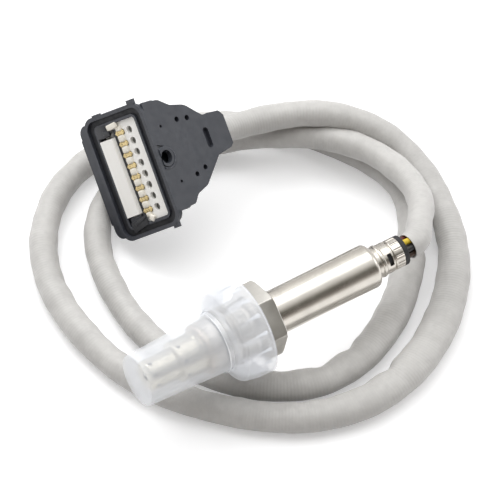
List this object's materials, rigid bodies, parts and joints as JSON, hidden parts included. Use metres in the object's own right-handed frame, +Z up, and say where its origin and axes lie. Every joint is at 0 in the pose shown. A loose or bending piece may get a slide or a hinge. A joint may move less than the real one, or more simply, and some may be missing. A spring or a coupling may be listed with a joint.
{
  "type": "nitrogen oxide sensor",
  "caption": "Exhaust nitrogen oxide probe with a hexagonal hollow screw, a clear flared transport cap, a soft grey cable and a flat multi-contact plug.",
  "frame": {"origin": "on the probe's axis at the middle of the mounting thread", "axes": "+X along the probe from its tip to its rear, where the wires leave; +Z up, with the cable lying 25.5 mm below the axis"},
  "size_m": [0.1367, 0.1401, 0.0496],
  "materials": {
    "clear_cap": "milky translucent",
    "stained_steel": "satin",
    "copper_ring": "satin",
    "satin_steel": "satin",
    "screw_steel": "turned",
    "spring_metal": "satin",
    "clamp_steel": "satin",
    "ceramic": "matt",
    "talc": "matt",
    "dark_rubber": "matt",
    "seal_rubber": "matt",
    "grey_sleeve": "matt",
    "wire_white": "satin",
    "wire_yellow": "satin",
    "wire_black": "satin",
    "wire_brown": "satin",
    "wire_grey": "satin",
    "wire_blue": "satin",
    "wire_green": "satin",
    "wire_red": "satin",
    "plug_plastic": "satin",
    "white_plastic": "satin",
    "gold_contact": "satin"
  },
  "bodies": {
    "probe": {"outer_protection_tube": "stained_steel", "inner_protection_tube": "stained_steel", "sealing_ring": "copper_ring", "probe_housing": "satin_steel", "front_bush": "ceramic", "talc_packing": "talc", "rear_bush": "ceramic", "contact_holder": "ceramic", "sensing_element": "ceramic", "contact_springs": "spring_metal", "outer_tube": "satin_steel", "crimp_ferrule": "satin_steel", "grommet": "dark_rubber", "cable_sleeve": "grey_sleeve", "wire_white": "wire_white", "wire_yellow": "wire_yellow", "wire_black": "wire_black", "wire_brown": "wire_brown", "wire_grey": "wire_grey", "wire_blue": "wire_blue", "wire_green": "wire_green", "wire_red": "wire_red", "plug_shroud": "plug_plastic", "face_seal": "seal_rubber", "terminal_carrier": "white_plastic", "terminals": "gold_contact", "terminal_lock": "white_plastic", "end_latch": "plug_plastic", "shell_cover": "plug_plastic", "shell_base": "plug_plastic", "cable_clamp": "clamp_steel"},
    "screw": {"hollow_screw": "screw_steel"},
    "cap": {"protective_cap": "clear_cap"}
  },
  "joints": [
    {"name": "screw_spin", "type": "hinge", "parent": "probe", "child": "screw", "pos_m": [0, 0, 0], "axis": [1, 0, 0], "continuous": true},
    {"name": "cap_pull", "type": "slide", "parent": "probe", "child": "cap", "axis": [-1, 0, 0], "range_m": [0, 0.045]}
  ]
}
